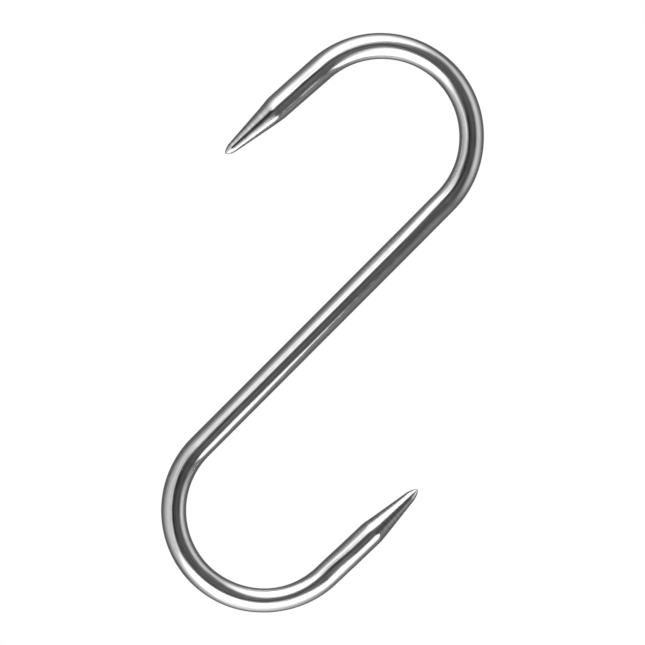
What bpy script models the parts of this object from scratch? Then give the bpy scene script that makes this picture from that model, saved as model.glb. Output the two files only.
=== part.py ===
"""A butcher's S-shaped meat hook: one round stainless bar, bent twice, with both ends ground to a point.

The hook hangs as it does in use. The XZ plane is the plane of the S and +Z is up. The origin is the inside of
the upper bend's crown, the spot that rests on the rail, and both bend centres lie straight below it.
"""

import math
from typing import NamedTuple

import bmesh
import bpy
from mathutils import Matrix, Vector

# Driving dimensions, in metres.
BAR_RADIUS = 0.004
BEND_INNER_RADIUS = 0.0252
BEND_SPACING = 0.1262

# How finely the round shapes are divided.
BAR_SIDES = 24
BEND_STEP = math.radians(4)
SHOULDER_STEPS = 4
NOSE_STEPS = 5

# Worked out from the driving dimensions.
BEND_RADIUS = BEND_INNER_RADIUS + BAR_RADIUS
UPPER_CENTRE = Vector((0, 0, -BEND_INNER_RADIUS))
LOWER_CENTRE = UPPER_CENTRE - Vector((0, 0, BEND_SPACING))
MIDDLE = (UPPER_CENTRE + LOWER_CENTRE) / 2
# The shank is the inner tangent of the two bend circles, so their size and spacing set how far it leans.
SHANK_LEAN = math.asin(2 * BEND_RADIUS / BEND_SPACING)
SHANK_LENGTH = BEND_SPACING * math.cos(SHANK_LEAN)
SHANK_UP = Vector((math.sin(SHANK_LEAN), 0, math.cos(SHANK_LEAN)))

HOOK_NORMAL = Vector((0, 1, 0))


class End(NamedTuple):
    """One end of the bar, from the shank's middle out to its point."""

    centre: Vector  # of the bend
    shank_way: Vector  # along the shank, towards the bend
    bend_angle: float
    leg_length: float  # from the end of the bend to the very tip
    cone_slope: float  # radius lost per length of the ground cone
    nose_length: float  # the blunt last stretch of the point
    nose_radius: float  # where the cone meets the nose
    nose_power: float  # 0.5 is round, 1 is a straight cone
    shoulder_reach: float  # how far the cone's edge is polished away on each side


UPPER_END = End(
    centre=UPPER_CENTRE,
    shank_way=SHANK_UP,
    bend_angle=math.radians(176.5),
    leg_length=0.0412,
    cone_slope=0.1325,
    nose_length=0.0026,
    nose_radius=0.00165,
    nose_power=0.5,
    shoulder_reach=0.0012,
)
LOWER_END = End(
    centre=LOWER_CENTRE,
    shank_way=-SHANK_UP,
    bend_angle=math.radians(178.5),
    leg_length=0.0404,
    cone_slope=0.141,
    nose_length=0.0031,
    nose_radius=0.00175,
    nose_power=0.55,
    shoulder_reach=0.0012,
)


def clear_scene():
    for obj in list(bpy.data.objects):
        bpy.data.objects.remove(obj)


def polished_stainless():
    material = bpy.data.materials.new("polished_stainless")
    material.use_nodes = True
    shader = material.node_tree.nodes["Principled BSDF"]
    shader.inputs["Base Color"].default_value = (0.66, 0.66, 0.66, 1)
    shader.inputs["Metallic"].default_value = 1.0
    shader.inputs["Roughness"].default_value = 0.12
    return material


def shoulder_distance(end):
    """Distance from the tip back to where the cone would meet the bar with no edge polished away."""
    return end.nose_length + (BAR_RADIUS - end.nose_radius) / end.cone_slope


def point_profile(end):
    """(distance from the tip, radius) down the ground point, from the bar to just short of the tip."""
    shoulder, reach = shoulder_distance(end), end.shoulder_reach
    profile = []
    for step in range(SHOULDER_STEPS + 1):
        past = 2 * reach * step / SHOULDER_STEPS
        radius = BAR_RADIUS - end.cone_slope * past**2 / (4 * reach)
        profile.append((shoulder + reach - past, radius))
    for step in range(NOSE_STEPS):
        left = (1 - step / NOSE_STEPS) ** 2
        profile.append((end.nose_length * left, end.nose_radius * left**end.nose_power))
    return profile


def extruded(mesh, ring, offset):
    """Extrudes an open ring of edges by offset, and returns the new ring's edges."""
    made = bmesh.ops.extrude_edge_only(mesh, edges=ring)["geom"]
    new_verts = [item for item in made if isinstance(item, bmesh.types.BMVert)]
    bmesh.ops.translate(mesh, verts=new_verts, vec=offset)
    moved = set(new_verts)
    return [
        item
        for item in made
        if isinstance(item, bmesh.types.BMEdge) and moved.issuperset(item.verts)
    ]


def spun(mesh, ring, centre, angle):
    """Bends a ring of edges round centre, in the plane of the hook, and returns the last ring's edges."""
    verts = {vert for edge in ring for vert in edge.verts}
    made = bmesh.ops.spin(
        mesh,
        geom=ring + list(verts),
        cent=centre,
        axis=HOOK_NORMAL,
        angle=angle,
        steps=math.ceil(abs(angle) / BEND_STEP),
    )
    return [item for item in made["geom_last"] if isinstance(item, bmesh.types.BMEdge)]


def scaled(mesh, ring, factor, centre):
    verts = list({vert for edge in ring for vert in edge.verts})
    bmesh.ops.scale(
        mesh,
        verts=verts,
        vec=Vector((factor, factor, factor)),
        space=Matrix.Translation(-centre),
    )


def grow_end(mesh, ring, end):
    """Carries the bar on from the shank's middle: half the shank, the bend, the leg and the ground point."""
    ring = extruded(mesh, ring, end.shank_way * SHANK_LENGTH / 2)
    # Seen from -Y, with +X to the right, both bends turn the bar anticlockwise, which is negative about +Y.
    ring = spun(mesh, ring, end.centre, -end.bend_angle)

    turned = Matrix.Rotation(-end.bend_angle, 3, HOOK_NORMAL)
    leg_way = turned @ end.shank_way
    tangent_point = MIDDLE + end.shank_way * SHANK_LENGTH / 2
    leg_start = end.centre + turned @ (tangent_point - end.centre)
    tip = leg_start + leg_way * end.leg_length

    travelled, radius = 0.0, BAR_RADIUS
    for from_tip, next_radius in point_profile(end):
        along = end.leg_length - from_tip
        ring = extruded(mesh, ring, leg_way * (along - travelled))
        scaled(mesh, ring, next_radius / radius, leg_start + leg_way * along)
        travelled, radius = along, next_radius
    ring = extruded(mesh, ring, leg_way * (end.leg_length - travelled))
    last = list({vert for edge in ring for vert in edge.verts})
    bmesh.ops.pointmerge(mesh, verts=last, merge_co=tip)


def hook_mesh():
    bar = bmesh.new()
    across = SHANK_UP.cross(HOOK_NORMAL)
    square_to_shank = Matrix((across, HOOK_NORMAL, across.cross(HOOK_NORMAL))).transposed()
    bmesh.ops.create_circle(
        bar,
        segments=BAR_SIDES,
        radius=BAR_RADIUS,
        matrix=Matrix.Translation(MIDDLE) @ square_to_shank.to_4x4(),
    )
    middle_ring = list(bar.edges)
    for end in (UPPER_END, LOWER_END):
        grow_end(bar, middle_ring, end)
    bmesh.ops.recalc_face_normals(bar, faces=bar.faces)
    mesh = bpy.data.meshes.new("s_hook")
    bar.to_mesh(mesh)
    bar.free()
    mesh.shade_smooth()
    return mesh


def main():
    clear_scene()
    hook = bpy.data.objects.new("s_hook", hook_mesh())
    hook.data.materials.append(polished_stainless())
    bpy.context.scene.collection.objects.link(hook)


main()
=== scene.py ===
import math
from typing import NamedTuple

import bmesh
import bpy
from mathutils import Matrix, Vector


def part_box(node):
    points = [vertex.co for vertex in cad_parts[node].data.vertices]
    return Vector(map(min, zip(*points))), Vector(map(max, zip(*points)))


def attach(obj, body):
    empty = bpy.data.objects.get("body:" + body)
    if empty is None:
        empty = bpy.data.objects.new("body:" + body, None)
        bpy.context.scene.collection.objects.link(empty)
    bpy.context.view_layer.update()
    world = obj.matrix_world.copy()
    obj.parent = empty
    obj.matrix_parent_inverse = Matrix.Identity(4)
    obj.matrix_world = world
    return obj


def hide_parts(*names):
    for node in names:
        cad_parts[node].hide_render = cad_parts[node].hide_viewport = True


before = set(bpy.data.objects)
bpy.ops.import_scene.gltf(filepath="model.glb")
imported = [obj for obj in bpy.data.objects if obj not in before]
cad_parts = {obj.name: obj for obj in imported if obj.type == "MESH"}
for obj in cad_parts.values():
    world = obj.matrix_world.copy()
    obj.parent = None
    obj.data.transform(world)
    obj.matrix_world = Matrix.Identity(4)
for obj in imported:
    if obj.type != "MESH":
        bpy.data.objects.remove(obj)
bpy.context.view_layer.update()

MM = 0.001

# ------------------------------------------------------------------------------
# The hook's driving dimensions. The bar and the bend centres come from the frame, and the rest repeats
# the CAD, but for a slightly sharper shoulder. Only this model has what bending and polishing did to the
# bar: its swelling, squeezes, crown, depth and stray, and the lean of its points. The crown, the depth
# and the lean weren't chosen by hand: they come from the same fit as the studio's panels.
# ------------------------------------------------------------------------------

HOOK = "s_hook"
LOW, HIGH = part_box(HOOK)
BAR_RADIUS = (HIGH.y - LOW.y) / 2
BEND_INNER_RADIUS = 25.2 * MM
BEND_RADIUS = BEND_INNER_RADIUS + BAR_RADIUS
UPPER_CENTRE = Vector((0, 0, HIGH.z - BEND_RADIUS - BAR_RADIUS))
LOWER_CENTRE = Vector((0, 0, LOW.z + BEND_RADIUS + BAR_RADIUS))
MIDDLE = (UPPER_CENTRE + LOWER_CENTRE) / 2
BEND_SPACING = UPPER_CENTRE.z - LOWER_CENTRE.z
SHANK_LEAN = math.asin(2 * BEND_RADIUS / BEND_SPACING)
SHANK_LENGTH = BEND_SPACING * math.cos(SHANK_LEAN)
SHANK_UP = Vector((math.sin(SHANK_LEAN), 0, math.cos(SHANK_LEAN)))


class Measure(NamedTuple):
    """A measure of the bar along one of its ends."""

    on_shank: float
    round_bend: tuple  # at even steps
    on_leg: float
    on_point: float


class End(NamedTuple):
    """One end of the bar, from the shank's middle out to its point."""

    centre: Vector
    shank_way: Vector
    bend_angle: float
    leg_length: float
    cone_slope: float
    nose_length: float
    nose_radius: float
    nose_power: float
    shoulder_reach: float
    leg_swell: float  # how much wider than the bar the leg is where it leaves the bend
    swell_from: float  # how far round the bend that swelling begins
    squeeze: float  # how much narrower the bend is at its narrowest
    squeeze_at: float  # and how far round the bend that is
    point_lean: float  # how far the ground point leans away from the camera
    outward: int  # 1 if the bend's outside is on the bar's positive side across, else -1
    crown: Measure  # how far the section's crown sits towards that outside, as a share of its half width
    depth: Measure  # the section's depth, as a share of a round bar's
    aside: Measure  # how far the bar's axis strays towards that outside from true arcs and lines


# How far the shank strays to the outside of the upper bend, which is the inside of the lower one.
SHANK_ASIDE = 0.125 * MM

UPPER_END = End(
    centre=UPPER_CENTRE,
    shank_way=SHANK_UP,
    bend_angle=math.radians(176.5),
    leg_length=41.2 * MM,
    cone_slope=0.1325,
    nose_length=2.6 * MM,
    nose_radius=1.65 * MM,
    nose_power=0.5,
    shoulder_reach=0.8 * MM,
    leg_swell=0.068,
    swell_from=0.42,
    squeeze=0.02,
    squeeze_at=0.2,
    point_lean=-0.008,
    outward=1,
    crown=Measure(0.0, (-0.077, 0.043, 0.081, 0.130, -0.041), -0.041, -0.085),
    depth=Measure(1.0, (0.887, 1.000, 0.997), 0.934, 0.946),
    aside=Measure(SHANK_ASIDE, (0.08 * MM, -0.12 * MM, -0.01 * MM, 0.0, 0.10 * MM), 0.13 * MM, 0.0),
)
LOWER_END = End(
    centre=LOWER_CENTRE,
    shank_way=-SHANK_UP,
    bend_angle=math.radians(178.5),
    leg_length=40.4 * MM,
    cone_slope=0.141,
    nose_length=3.1 * MM,
    nose_radius=1.75 * MM,
    nose_power=0.55,
    shoulder_reach=0.8 * MM,
    leg_swell=0.038,
    swell_from=0.67,
    squeeze=0.05,
    squeeze_at=0.82,
    point_lean=-0.008,
    outward=-1,
    crown=Measure(0.0, (-0.052, -0.161, -0.067, 0.034, -0.083), -0.001, 0.092),
    depth=Measure(1.0, (0.948, 0.952, 0.912), 0.979, 0.972),
    aside=Measure(-SHANK_ASIDE, (-0.12 * MM, 0.02 * MM, 0.07 * MM, -0.13 * MM, -0.16 * MM), -0.08 * MM, 0.0),
)

# How finely the bar is divided: round it, along it, and along the short curves at each point.
BAR_SIDES = 96
BAR_STEP = 0.7 * MM
SHOULDER_STEPS = 12
NOSE_STEPS = 22

# The mesh's material slots: the drawn bar and its ground points.
DRAWN_SLOT = 0
GROUND_SLOT = 1

# The bar's width as a share of the CAD bar's.
WIDTH_SHARE = 1.012
# How far a squeeze reaches on each side, as a share of the bend.
SQUEEZE_REACH = 0.22
# How far down the leg the swelling eases off, as a share of the bend, and how much of it is gone by then.
SWELL_EASE = 0.25
SWELL_LOSS = 0.35
# How far a bend's measures reach into the shank and the leg, and a leg's on each side of the shoulder.
SHANK_BLEND = 20.0 * MM
LEG_BLEND = 12.0 * MM
POINT_BLEND = 2.5 * MM

# The camera looks straight at the flat of the hook, from far off, and is rolled so that the hook leans.
CAMERA_DISTANCE = 10.0
CAMERA_ROLL = math.radians(17.4)
VIEW_WIDTH = 207.9 * MM
VIEW_CENTRE = MIDDLE + Vector((-0.19 * MM, 0, 0.25 * MM))
SENSOR_WIDTH = 36.0


def clear_of_tip(end, full):
    """Distance from the tip to where the cone would meet a bar of radius full, if its edge were sharp."""
    return end.nose_length + (full - end.nose_radius) / end.cone_slope


def radius_at(end, from_tip, full):
    """The bar's radius at a distance from the tip: the full bar, the shoulder, the cone, then the nose."""
    if from_tip < end.nose_length:
        return end.nose_radius * (from_tip / end.nose_length) ** end.nose_power
    past = clear_of_tip(end, full) + end.shoulder_reach - from_tip
    if past <= 0:
        return full
    if past < 2 * end.shoulder_reach:
        return full - end.cone_slope * past**2 / (4 * end.shoulder_reach)
    return full - end.cone_slope * (past - end.shoulder_reach)


def smooth(share):
    """Eases from 0 to 1, and holds there outside."""
    share = min(max(share, 0.0), 1.0)
    return share * share * (3 - 2 * share)


def mixed(first, second, share):
    return first + (second - first) * share


def bend_length(end):
    return BEND_RADIUS * end.bend_angle


def half_length(end):
    """The bar's length from the shank's middle to one tip."""
    return SHANK_LENGTH / 2 + bend_length(end) + end.leg_length


def share_of_bend(end, to_tip):
    """How far round the bend a place on the bar is: 0 where the bend starts and 1 where it meets the leg."""
    return (end.leg_length + bend_length(end) - to_tip) / bend_length(end)


def between(values, share):
    """The value at a share of the way along values, which stand at even steps."""
    place = share * (len(values) - 1)
    step = min(int(place), len(values) - 2)
    return mixed(values[step], values[step + 1], place - step)


def value_at(end, measure, to_tip):
    """A measure at one place on the bar, blended from the shank by the bend and the leg to the point."""
    share = share_of_bend(end, to_tip)
    if share <= 0:
        before_bend = -share * bend_length(end)
        return mixed(measure.on_shank, measure.round_bend[0], smooth(1 - before_bend / SHANK_BLEND))
    if share <= 1:
        return between(measure.round_bend, share)
    past_bend = end.leg_length - to_tip
    on_leg = mixed(measure.on_leg, measure.round_bend[-1], smooth(1 - past_bend / LEG_BLEND))
    past_shoulder = clear_of_tip(end, BAR_RADIUS) - to_tip
    return mixed(on_leg, measure.on_point, smooth((past_shoulder + POINT_BLEND) / (2 * POINT_BLEND)))


def bar_width(end, to_tip):
    """Half the bar's width in the plane of the hook before grinding. Bending has changed it in places."""
    share = share_of_bend(end, to_tip)
    swell = end.leg_swell * smooth((share - end.swell_from) / (1 - end.swell_from))
    swell *= 1 - SWELL_LOSS * smooth((share - 1) / SWELL_EASE)
    squeeze = end.squeeze * smooth(1 - abs(share - end.squeeze_at) / SQUEEZE_REACH)
    return BAR_RADIUS * (WIDTH_SHARE + swell - squeeze)


class Station(NamedTuple):
    """One cross-section of the bar."""

    point: Vector
    way: Vector  # along the bar, from the shank's middle towards the tip
    to_tip: float  # along the bar
    width: float  # half the bar's width in the plane of the hook
    depth: float  # half its depth, across that plane
    skew: float  # how far its crown is to the bar's positive side, as a share of the half width
    aside: float  # how far the whole section is to that side


def spread(start, stop, count):
    return [start + (stop - start) * step / count for step in range(1, count + 1)]


def distances_to_tip(end):
    """Where the bar's cross-sections lie from the shank's middle outwards, as distances from the tip."""
    whole = half_length(end)
    upto_shoulder = clear_of_tip(end, bar_width(end, end.leg_length / 2)) + end.shoulder_reach
    below_shoulder = clear_of_tip(end, BAR_RADIUS) - end.shoulder_reach
    places = spread(whole, upto_shoulder, round((whole - upto_shoulder) / BAR_STEP))
    places += spread(upto_shoulder, below_shoulder, SHOULDER_STEPS)
    places += spread(below_shoulder, end.nose_length, round((below_shoulder - end.nose_length) / BAR_STEP))
    places += [end.nose_length * (1 - step / NOSE_STEPS) ** 2 for step in range(1, NOSE_STEPS)]
    return places


def leaned(end, point, to_tip):
    """A point of the bar's axis, moved away from the camera as the ground point leans."""
    past_shoulder = max(clear_of_tip(end, BAR_RADIUS) - to_tip, 0.0)
    return point + Vector((0, past_shoulder * math.tan(end.point_lean), 0))


def axis_at(end, to_tip):
    """A point of the bar's axis, and the way along it towards the tip, before the point leans."""
    tangent_point = MIDDLE + end.shank_way * SHANK_LENGTH / 2
    past_shank = end.leg_length + bend_length(end) - to_tip
    if past_shank <= 0:
        return tangent_point + end.shank_way * past_shank, end.shank_way
    turn = Matrix.Rotation(-min(past_shank / BEND_RADIUS, end.bend_angle), 3, "Y")
    way = turn @ end.shank_way
    past_bend = max(end.leg_length - to_tip, 0.0)
    return end.centre + turn @ (tangent_point - end.centre) + way * past_bend, way


def station_at(end, to_tip):
    point, way = axis_at(end, to_tip)
    return Station(
        point=leaned(end, point, to_tip),
        way=way,
        to_tip=to_tip,
        width=radius_at(end, to_tip, bar_width(end, to_tip)),
        depth=radius_at(end, to_tip, BAR_RADIUS) * value_at(end, end.depth, to_tip),
        skew=value_at(end, end.crown, to_tip) * end.outward,
        aside=value_at(end, end.aside, to_tip) * end.outward,
    )


def stations(end):
    """The bar's cross-sections from the shank's middle to just short of one tip, and the tip's own place."""
    tip, _ = axis_at(end, 0.0)
    return [station_at(end, to_tip) for to_tip in distances_to_tip(end)], leaned(end, tip, 0.0)


def add_vert(bar, place, straight_place):
    """A point of the bar, which carries its place on a straight bar for the materials to use."""
    vert = bar.verts.new(place)
    vert[bar.verts.layers.float_vector["straight_bar"]] = straight_place
    return vert


def add_ring(bar, station, way, along):
    across_way = Vector((-way.z, 0, way.x))
    ring = []
    for side in range(BAR_SIDES):
        turn = 2 * math.pi * side / BAR_SIDES
        crowned = math.cos(turn) + station.skew * math.sin(turn) ** 2
        across = station.aside + station.width * crowned
        out = station.depth * math.sin(turn)
        place = station.point + across_way * across + Vector((0, out, 0))
        ring.append(add_vert(bar, place, (along, across, out)))
    return ring


def join_rings(bar, ring, after, material_index):
    for side in range(BAR_SIDES):
        beside = (side + 1) % BAR_SIDES
        face = bar.faces.new((ring[side], ring[beside], after[beside], after[side]))
        face.material_index = material_index


def close_tip(bar, ring, tip):
    for side in range(BAR_SIDES):
        beside = (side + 1) % BAR_SIDES
        face = bar.faces.new((ring[side], ring[beside], tip))
        face.material_index = GROUND_SLOT


def hook_mesh():
    """The bar as one closed mesh, from the upper tip to the lower one."""
    upper, upper_tip = stations(UPPER_END)
    lower, lower_tip = stations(LOWER_END)
    to_middle = half_length(UPPER_END)
    length = to_middle + half_length(LOWER_END)
    middle = Station(MIDDLE, SHANK_UP, to_middle, BAR_RADIUS * WIDTH_SHARE, BAR_RADIUS, 0.0, SHANK_ASIDE)
    # The cross-sections all face the lower tip.
    run = [(station, -station.way, station.to_tip) for station in reversed([middle] + upper)]
    run += [(station, station.way, length - station.to_tip) for station in lower]

    bar = bmesh.new()
    bar.verts.layers.float_vector.new("straight_bar")
    rings = [add_ring(bar, *section) for section in run]
    places = [along for _, _, along in run]
    shoulders = (clear_of_tip(UPPER_END, BAR_RADIUS), length - clear_of_tip(LOWER_END, BAR_RADIUS))
    for ring, after, start, stop in zip(rings, rings[1:], places, places[1:]):
        drawn = shoulders[0] < (start + stop) / 2 < shoulders[1]
        join_rings(bar, ring, after, DRAWN_SLOT if drawn else GROUND_SLOT)
    close_tip(bar, rings[0], add_vert(bar, upper_tip, (0.0, 0.0, 0.0)))
    close_tip(bar, rings[-1], add_vert(bar, lower_tip, (length, 0.0, 0.0)))
    bmesh.ops.recalc_face_normals(bar, faces=bar.faces)

    mesh = bpy.data.meshes.new("polished_hook")
    bar.to_mesh(mesh)
    bar.free()
    mesh.shade_smooth()
    return mesh


# ------------------------------------------------------------------------------
# Materials
# ------------------------------------------------------------------------------

STEEL_TONE = 0.72
TONE_CHANGE = 0.02
MOTTLE_TONE = 0.04
LINE_ROUGHNESS = 0.02
PIT_ROUGHNESS = 0.17
SPECK_ROUGHNESS = 0.5
WAVE_DEPTH = 12e-6
RIPPLE_DEPTH = 6e-6

# Grains to a metre, along the bar and across it. The clouds are the same both ways.
MOTTLE_GRAIN = (420.0, 1700.0)
WAVE_GRAIN = (90.0, 160.0)
RIPPLE_GRAIN = (500.0, 1200.0)
PIT_GRAIN = (260.0, 2400.0)
CLOUD_GRAIN = 60.0

# The stretch of a noise's values over which a mark comes in. The first holds nearly all of a noise.
NOISE_SPAN = (0.3, 0.7)
MOTTLE_SPAN = (0.35, 0.65)
HAZE_SPAN = (0.45, 0.8)
LINE_SPAN = (0.35, 0.75)
PIT_SPAN = (0.42, 0.75)

# Specks are small round marks, each inside a cell of its own. Most of the cells have none.
SPECK_CELLS = 430.0
SPECK_RADIUS = 0.07
CELLS_WITHOUT = 0.955

FLOOR_GRAIN = 3.0
FLOOR_TONES = (0.86, 0.90)
FLOOR_ROUGHNESS = 0.7


class Nodes:
    """Short ways to add and join nodes in a material or world."""

    def __init__(self, owner):
        owner.use_nodes = True
        self.tree = owner.node_tree
        self.tree.nodes.clear()

    def add(self, kind, **settings):
        node = self.tree.nodes.new(kind)
        for name, value in settings.items():
            setattr(node, name, value)
        return node

    def feed(self, socket, value):
        """Links value to the socket if it is another socket, or else sets it."""
        if isinstance(value, bpy.types.NodeSocket):
            self.tree.links.new(value, socket)
        else:
            socket.default_value = value

    def put(self, node, **values):
        """Feeds a node's inputs, named by their labels with underscores for spaces."""
        for name, value in values.items():
            self.feed(node.inputs[name.replace("_", " ")], value)

    def pair(self, kind, first, second, **settings):
        """Adds a node of two inputs that share a label."""
        node = self.add(kind, **settings)
        self.feed(node.inputs[0], first)
        self.feed(node.inputs[1], second)
        return node.outputs

    def math(self, operation, first, second=0.0):
        return self.pair("ShaderNodeMath", first, second, operation=operation)[0]

    def dot(self, vector, axis):
        return self.pair("ShaderNodeVectorMath", vector, axis, operation="DOT_PRODUCT")["Value"]

    def ramp(self, value, low, high, out_low, out_high):
        """Carries value smoothly from low..high to out_low..out_high, and holds it there outside."""
        node = self.add("ShaderNodeMapRange", interpolation_type="SMOOTHSTEP")
        self.put(node, Value=value, From_Min=low, From_Max=high, To_Min=out_low, To_Max=out_high)
        return node.outputs[0]

    def noise(self, vector, scale, detail=2.0, roughness=0.5):
        node = self.add("ShaderNodeTexNoise")
        self.put(node, Vector=vector, Scale=scale, Detail=detail, Roughness=roughness)
        return node.outputs["Fac"]

    def grain(self, straight, per_metre, detail, roughness=0.5):
        """Noise on the straight bar, with so many grains to a metre along it and across it."""
        along, across = per_metre
        stretch = (along, across, across)
        stretched = self.pair("ShaderNodeVectorMath", straight, stretch, operation="MULTIPLY")[0]
        return self.noise(stretched, 1.0, detail, roughness)

    def bump(self, height, depth, normal=None):
        """The surface's normal made uneven by height, on top of another normal if there is one."""
        node = self.add("ShaderNodeBump")
        self.put(node, Strength=1.0, Distance=depth, Height=height)
        if normal is not None:
            self.put(node, Normal=normal)
        return node.outputs["Normal"]

    def gray(self, tone):
        node = self.add("ShaderNodeCombineColor")
        self.put(node, Red=tone, Green=tone, Blue=tone)
        return node.outputs[0]


class Polish(NamedTuple):
    """How one stretch of the steel was finished."""

    name: str
    roughness: float  # where the steel is clearest
    haze: float  # the roughness where the mottle is haziest
    grain: tuple  # polishing lines to a metre, along the bar and across it
    grain_depth: float
    grain_tone: float  # how far a line is paler or darker than the steel


DRAWN_BAR = Polish("drawn_bar", 0.035, 0.18, (60.0, 6000.0), 0.5e-6, 0.04)
GROUND_POINT = Polish("ground_point", 0.03, 0.14, (1500.0, 200.0), 3.0e-6, 0.12)


def steel_tone(nodes, straight, lines, mottle, polish):
    """Nearly even steel, a little paler or darker in its lines, its mottle and its broad clouds."""
    clouds = nodes.noise(straight, CLOUD_GRAIN)
    tone = nodes.math(
        "ADD",
        nodes.ramp(lines, *NOISE_SPAN, -polish.grain_tone, polish.grain_tone),
        nodes.ramp(mottle, *MOTTLE_SPAN, -MOTTLE_TONE, MOTTLE_TONE),
    )
    base = nodes.ramp(clouds, *NOISE_SPAN, STEEL_TONE - TONE_CHANGE, STEEL_TONE + TONE_CHANGE)
    return nodes.gray(nodes.math("ADD", tone, base))


def specks(nodes, straight):
    """1 in a few tiny dust specks, pale dots where the steel reflects something dark, and 0 elsewhere."""
    cells = nodes.add("ShaderNodeTexVoronoi")
    nodes.put(cells, Vector=straight, Scale=SPECK_CELLS)
    chance = nodes.add("ShaderNodeSeparateColor")
    nodes.put(chance, Color=cells.outputs["Color"])
    chosen = nodes.math("GREATER_THAN", chance.outputs["Red"], CELLS_WITHOUT)
    near = nodes.math("LESS_THAN", cells.outputs["Distance"], SPECK_RADIUS)
    return nodes.math("MULTIPLY", near, chosen)


def steel_roughness(nodes, straight, lines, mottle, polish):
    """Clear steel with hazier patches, fine lines, specks and soft pits."""
    pits = nodes.grain(straight, PIT_GRAIN, detail=3.0)
    haze = nodes.ramp(mottle, *HAZE_SPAN, polish.roughness, polish.haze)
    rough = nodes.math("ADD", nodes.ramp(lines, *LINE_SPAN, 0.0, LINE_ROUGHNESS), haze)
    dust = nodes.math("MULTIPLY", specks(nodes, straight), SPECK_ROUGHNESS)
    rough = nodes.math("MAXIMUM", rough, dust)
    return nodes.math("MAXIMUM", rough, nodes.ramp(pits, *PIT_SPAN, 0.0, PIT_ROUGHNESS))


def steel_normal(nodes, straight, lines, polish):
    """The polishing lines, on faint ripples and longer waves in the bar."""
    waves = nodes.grain(straight, WAVE_GRAIN, detail=1.0)
    ripples = nodes.grain(straight, RIPPLE_GRAIN, detail=1.0)
    grooved = nodes.bump(lines, polish.grain_depth)
    wavy = nodes.bump(waves, WAVE_DEPTH, grooved)
    return nodes.bump(ripples, RIPPLE_DEPTH, wavy)


def steel(polish):
    """Polished stainless steel."""
    material = bpy.data.materials.new(polish.name)
    nodes = Nodes(material)
    straight = nodes.add("ShaderNodeAttribute", attribute_name="straight_bar").outputs["Vector"]
    lines = nodes.grain(straight, polish.grain, detail=3.0, roughness=0.6)
    mottle = nodes.grain(straight, MOTTLE_GRAIN, detail=3.0, roughness=0.65)
    tone = steel_tone(nodes, straight, lines, mottle, polish)
    rough = steel_roughness(nodes, straight, lines, mottle, polish)
    normal = steel_normal(nodes, straight, lines, polish)
    shader = nodes.add("ShaderNodeBsdfPrincipled")
    nodes.put(shader, Base_Color=tone, Metallic=1.0, Roughness=rough, Normal=normal)
    nodes.put(nodes.add("ShaderNodeOutputMaterial"), Surface=shader.outputs[0])
    return material


def pale_floor():
    material = bpy.data.materials.new("pale_floor")
    nodes = Nodes(material)
    place = nodes.add("ShaderNodeTexCoord").outputs["Object"]
    tone = nodes.ramp(nodes.noise(place, FLOOR_GRAIN, detail=4.0), *NOISE_SPAN, *FLOOR_TONES)
    shader = nodes.add("ShaderNodeBsdfPrincipled")
    nodes.put(shader, Base_Color=nodes.gray(tone), Roughness=FLOOR_ROUGHNESS)
    nodes.put(nodes.add("ShaderNodeOutputMaterial"), Surface=shader.outputs[0])
    return material


# ------------------------------------------------------------------------------
# The studio. It is laid out as the camera sees the hook: x to the right, y up and z towards the camera,
# from the centre of the view.
# ------------------------------------------------------------------------------


def studio_matrix():
    right = Vector((math.cos(CAMERA_ROLL), 0, math.sin(CAMERA_ROLL)))
    up = Vector((-math.sin(CAMERA_ROLL), 0, math.cos(CAMERA_ROLL)))
    towards = right.cross(up)
    axes = Matrix((right, up, towards)).transposed().to_4x4()
    return Matrix.Translation(VIEW_CENTRE) @ axes


class Panel(NamedTuple):
    """A soft light panel. It faces along one axis, and its light fades out over soft across its edges."""

    name: str
    axis: str
    distance: float  # along that axis
    centre: tuple  # in the other two axes, in order
    half: tuple  # half its width and height
    turn: float  # in its own plane
    soft: tuple
    strength: float


class Spot(NamedTuple):
    """A dark oval on the camera's side of the room, placed by the way that a reflection leaves the steel."""

    place: tuple
    radii: tuple
    turn: float
    depth: float  # the share of the room's light that is gone in its middle


# The panels, the spots, the dim room's light and the backdrop's place and tilt weren't chosen by hand.
# A least-squares fit outside this script made them, by bringing worked-out reflections close to the
# photo's. They are light that explains those reflections, and not a measured studio.
PANELS = (
    Panel("top_panel", "y", 0.366, (-0.264, 0.925), (0.369, 0.113), -1.34, (1.834, 0.627), 2.18),
    Panel("bottom_panel", "y", -0.566, (-0.294, 0.796), (0.224, 0.561), 0.34, (1.229, 1.947), 3.00),
    Panel("left_panel", "x", -0.116, (-0.650, -0.143), (0.779, 0.023), 0.41, (0.038, 0.026), 0.24),
    Panel("right_panel", "x", 0.636, (0.223, 0.280), (0.580, 0.310), -0.01, (0.636, 0.727), 0.45),
    Panel("top_bounce", "y", 1.238, (-0.220, 0.996), (0.996, 0.664), -1.04, (2.000, 0.886), 1.23),
    Panel("bottom_bounce", "y", -0.271, (0.142, 0.180), (0.112, 0.112), -1.84, (0.192, 0.030), 1.15),
    Panel("left_bounce", "x", -1.300, (-0.008, 1.006), (1.300, 0.691), 0.30, (0.910, 1.744), 0.46),
)

# A soft card straight behind the hook. Only the very edge of the bar shows it to the camera, but it gives
# the hook's far side its highlight.
BACK_CARD = Panel("back_card", "z", -0.580, (0.0, 0.0), (0.045, 0.045), 0.00, (0.090, 0.090), 1.20)

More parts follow.
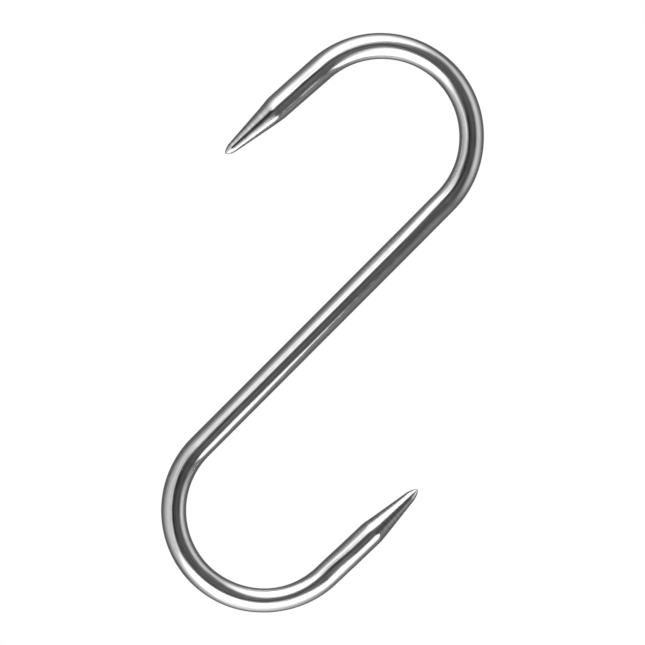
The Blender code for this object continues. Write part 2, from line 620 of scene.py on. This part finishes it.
# The dim room's light on the camera's side and behind the hook, and where the one turns into the other.
DIM_FRONT = 0.137
DIM_BACK = 0.105
DIM_TURN = (-0.4, 0.2)
CLUTTER_SCALE = 14.0
CLUTTER_DEPTH = 0.45
SPOTS = (
    Spot((-0.335, -0.022), (0.298, 0.413), 1.21, 0.89),
    Spot((0.433, -0.192), (0.487, 1.251), 0.38, 0.55),
    Spot((-0.132, 0.045), (0.572, 0.114), -0.38, 0.66),
)

BACKDROP_PLACE = -0.625
BACKDROP_TILT = (-0.156, 0.096)
BACKDROP_SIZE = 8.0

FLOOR_SIDES = 96
FLOOR_RADIUS = 3.0
FLOOR_HEIGHT = -1.5
FLOOR_LIGHT_SIZE = 2.0
FLOOR_LIGHT_HEIGHT = 1.6
FLOOR_LIGHT_POWER = 90.0


def sheet_object(name, half_width, half_height, material):
    sheet = bmesh.new()
    bmesh.ops.create_grid(sheet, x_segments=1, y_segments=1, size=1.0)
    bmesh.ops.scale(sheet, verts=sheet.verts, vec=(half_width, half_height, 1))
    mesh = bpy.data.meshes.new(name)
    sheet.to_mesh(mesh)
    sheet.free()
    mesh.materials.append(material)
    obj = bpy.data.objects.new(name, mesh)
    bpy.context.scene.collection.objects.link(obj)
    return obj


def hide_from_camera(obj):
    """Leaves an object to be seen only as a reflection in the steel."""
    obj.visible_camera = False
    obj.visible_diffuse = False
    obj.visible_shadow = False


def panel_material(panel):
    """Light that fades towards the panel's edges, where the panel turns clear."""
    material = bpy.data.materials.new(panel.name)
    nodes = Nodes(material)
    place = nodes.add("ShaderNodeSeparateXYZ")
    nodes.put(place, Vector=nodes.add("ShaderNodeTexCoord").outputs["Object"])
    fades = []
    for axis, half, soft in zip("XY", panel.half, panel.soft):
        away = nodes.math("ABSOLUTE", place.outputs[axis])
        fades.append(nodes.ramp(away, half - soft / 2, half + soft / 2, 1.0, 0.0))
    light = nodes.math("MULTIPLY", nodes.math("MULTIPLY", *fades), panel.strength / STEEL_TONE)
    emission = nodes.add("ShaderNodeEmission")
    nodes.put(emission, Strength=light)
    clear = nodes.add("ShaderNodeBsdfTransparent")
    both = nodes.pair("ShaderNodeAddShader", emission.outputs[0], clear.outputs[0])[0]
    nodes.put(nodes.add("ShaderNodeOutputMaterial"), Surface=both)
    return material


def add_panel(panel, studio):
    reach = [half + soft / 2 for half, soft in zip(panel.half, panel.soft)]
    obj = sheet_object(panel.name, *reach, panel_material(panel))

    # The panel's own x and y lie along the two axes that it doesn't face.
    axes = [Vector((1, 0, 0)), Vector((0, 1, 0)), Vector((0, 0, 1))]
    facing = axes.pop("xyz".index(panel.axis))
    first, second = axes
    own_x = first * math.cos(panel.turn) + second * math.sin(panel.turn)
    own_y = -first * math.sin(panel.turn) + second * math.cos(panel.turn)
    place = facing * panel.distance + first * panel.centre[0] + second * panel.centre[1]
    turned = Matrix((own_x, own_y, own_x.cross(own_y))).transposed().to_4x4()
    obj.matrix_world = studio @ Matrix.Translation(place) @ turned
    hide_from_camera(obj)


def add_backdrop(studio):
    """A dim sheet behind the hook, which ends the panels and gives the bar its dark edges."""
    material = bpy.data.materials.new("backdrop")
    nodes = Nodes(material)
    emission = nodes.add("ShaderNodeEmission")
    nodes.put(emission, Strength=DIM_BACK / STEEL_TONE)
    nodes.put(nodes.add("ShaderNodeOutputMaterial"), Surface=emission.outputs[0])
    backdrop = sheet_object("backdrop", BACKDROP_SIZE / 2, BACKDROP_SIZE / 2, material)
    facing = Vector((*BACKDROP_TILT, 1)).to_track_quat("Z", "Y")
    backdrop.matrix_world = studio @ Matrix.Translation((0, 0, BACKDROP_PLACE)) @ facing.to_matrix().to_4x4()
    hide_from_camera(backdrop)


def add_floor():
    sheet = bmesh.new()
    bmesh.ops.create_circle(sheet, cap_ends=True, segments=FLOOR_SIDES, radius=FLOOR_RADIUS)
    mesh = bpy.data.meshes.new("floor")
    sheet.to_mesh(mesh)
    sheet.free()
    mesh.materials.append(pale_floor())
    floor = bpy.data.objects.new("floor", mesh)
    floor.location = (0, 0, FLOOR_HEIGHT)
    floor.visible_glossy = False
    bpy.context.scene.collection.objects.link(floor)


def add_floor_light():
    data = bpy.data.lights.new("floor_light", "AREA")
    data.shape = "DISK"
    data.size = FLOOR_LIGHT_SIZE
    data.energy = FLOOR_LIGHT_POWER
    lamp = bpy.data.objects.new("floor_light", data)
    lamp.location = (0, 0, FLOOR_LIGHT_HEIGHT)
    lamp.visible_glossy = False
    bpy.context.scene.collection.objects.link(lamp)


def light_left(nodes, way, studio, spot):
    """The share of the room's light that a dark spot leaves, for each way out of the steel."""
    squares = []
    for turn, radius in zip((spot.turn, spot.turn + math.pi / 2), spot.radii):
        axis = Vector((math.cos(turn), math.sin(turn), 0))
        middle = axis.xy.dot(Vector(spot.place))
        offset = nodes.math("SUBTRACT", nodes.dot(way, studio.to_3x3() @ axis), middle)
        share = nodes.math("DIVIDE", offset, radius)
        squares.append(nodes.math("MULTIPLY", share, share))
    away = nodes.math("SQRT", nodes.math("ADD", *squares))
    return nodes.ramp(away, 0.0, 1.0, 1 - spot.depth, 1.0)


def add_world(studio):
    """White to the camera. To the steel, a dim room with dark spots on the camera's side."""
    world = bpy.data.worlds.new("studio")
    bpy.context.scene.world = world
    nodes = Nodes(world)
    way = nodes.add("ShaderNodeTexCoord").outputs["Generated"]
    towards = nodes.dot(way, studio.col[2].xyz)
    dim = nodes.ramp(towards, *DIM_TURN, DIM_BACK / STEEL_TONE, DIM_FRONT / STEEL_TONE)

    # The dim room isn't even: its odds and ends show as faint streaks along the bar.
    clutter = nodes.noise(way, CLUTTER_SCALE, detail=4.0, roughness=0.7)
    uneven = nodes.ramp(clutter, *NOISE_SPAN, 1 - CLUTTER_DEPTH, 1 + CLUTTER_DEPTH)
    dim = nodes.math("MULTIPLY", dim, uneven)

    # The camera, its stand and whoever holds it take some of that light away.
    behind = nodes.math("LESS_THAN", towards, 0.0)
    for spot in SPOTS:
        left = nodes.math("MAXIMUM", light_left(nodes, way, studio, spot), behind)
        dim = nodes.math("MULTIPLY", dim, left)

    strength = nodes.add("ShaderNodeMix", data_type="FLOAT")
    seen = nodes.add("ShaderNodeLightPath").outputs["Is Camera Ray"]
    nodes.put(strength, Factor=seen, A=dim, B=1.0)
    background = nodes.add("ShaderNodeBackground")
    nodes.put(background, Color=(1, 1, 1, 1), Strength=strength.outputs[0])
    nodes.put(nodes.add("ShaderNodeOutputWorld"), Surface=background.outputs[0])


def add_camera(studio):
    data = bpy.data.cameras.new("camera")
    data.sensor_width = SENSOR_WIDTH
    data.lens = SENSOR_WIDTH * CAMERA_DISTANCE / VIEW_WIDTH
    data.clip_end = 2 * CAMERA_DISTANCE
    camera = bpy.data.objects.new("camera", data)
    camera.matrix_world = studio @ Matrix.Translation((0, 0, CAMERA_DISTANCE))
    bpy.context.scene.collection.objects.link(camera)
    bpy.context.scene.camera = camera


def add_hook():
    hook = bpy.data.objects.new("polished_hook", hook_mesh())
    bpy.context.scene.collection.objects.link(hook)
    for polish in (DRAWN_BAR, GROUND_POINT):
        hook.data.materials.append(steel(polish))
    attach(hook, "root")
    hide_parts(HOOK)


def main():
    bpy.context.scene.view_settings.view_transform = "Standard"
    studio = studio_matrix()
    add_camera(studio)
    add_world(studio)
    add_floor()
    add_floor_light()
    add_backdrop(studio)
    for panel in (*PANELS, BACK_CARD):
        add_panel(panel, studio)
    add_hook()


main()
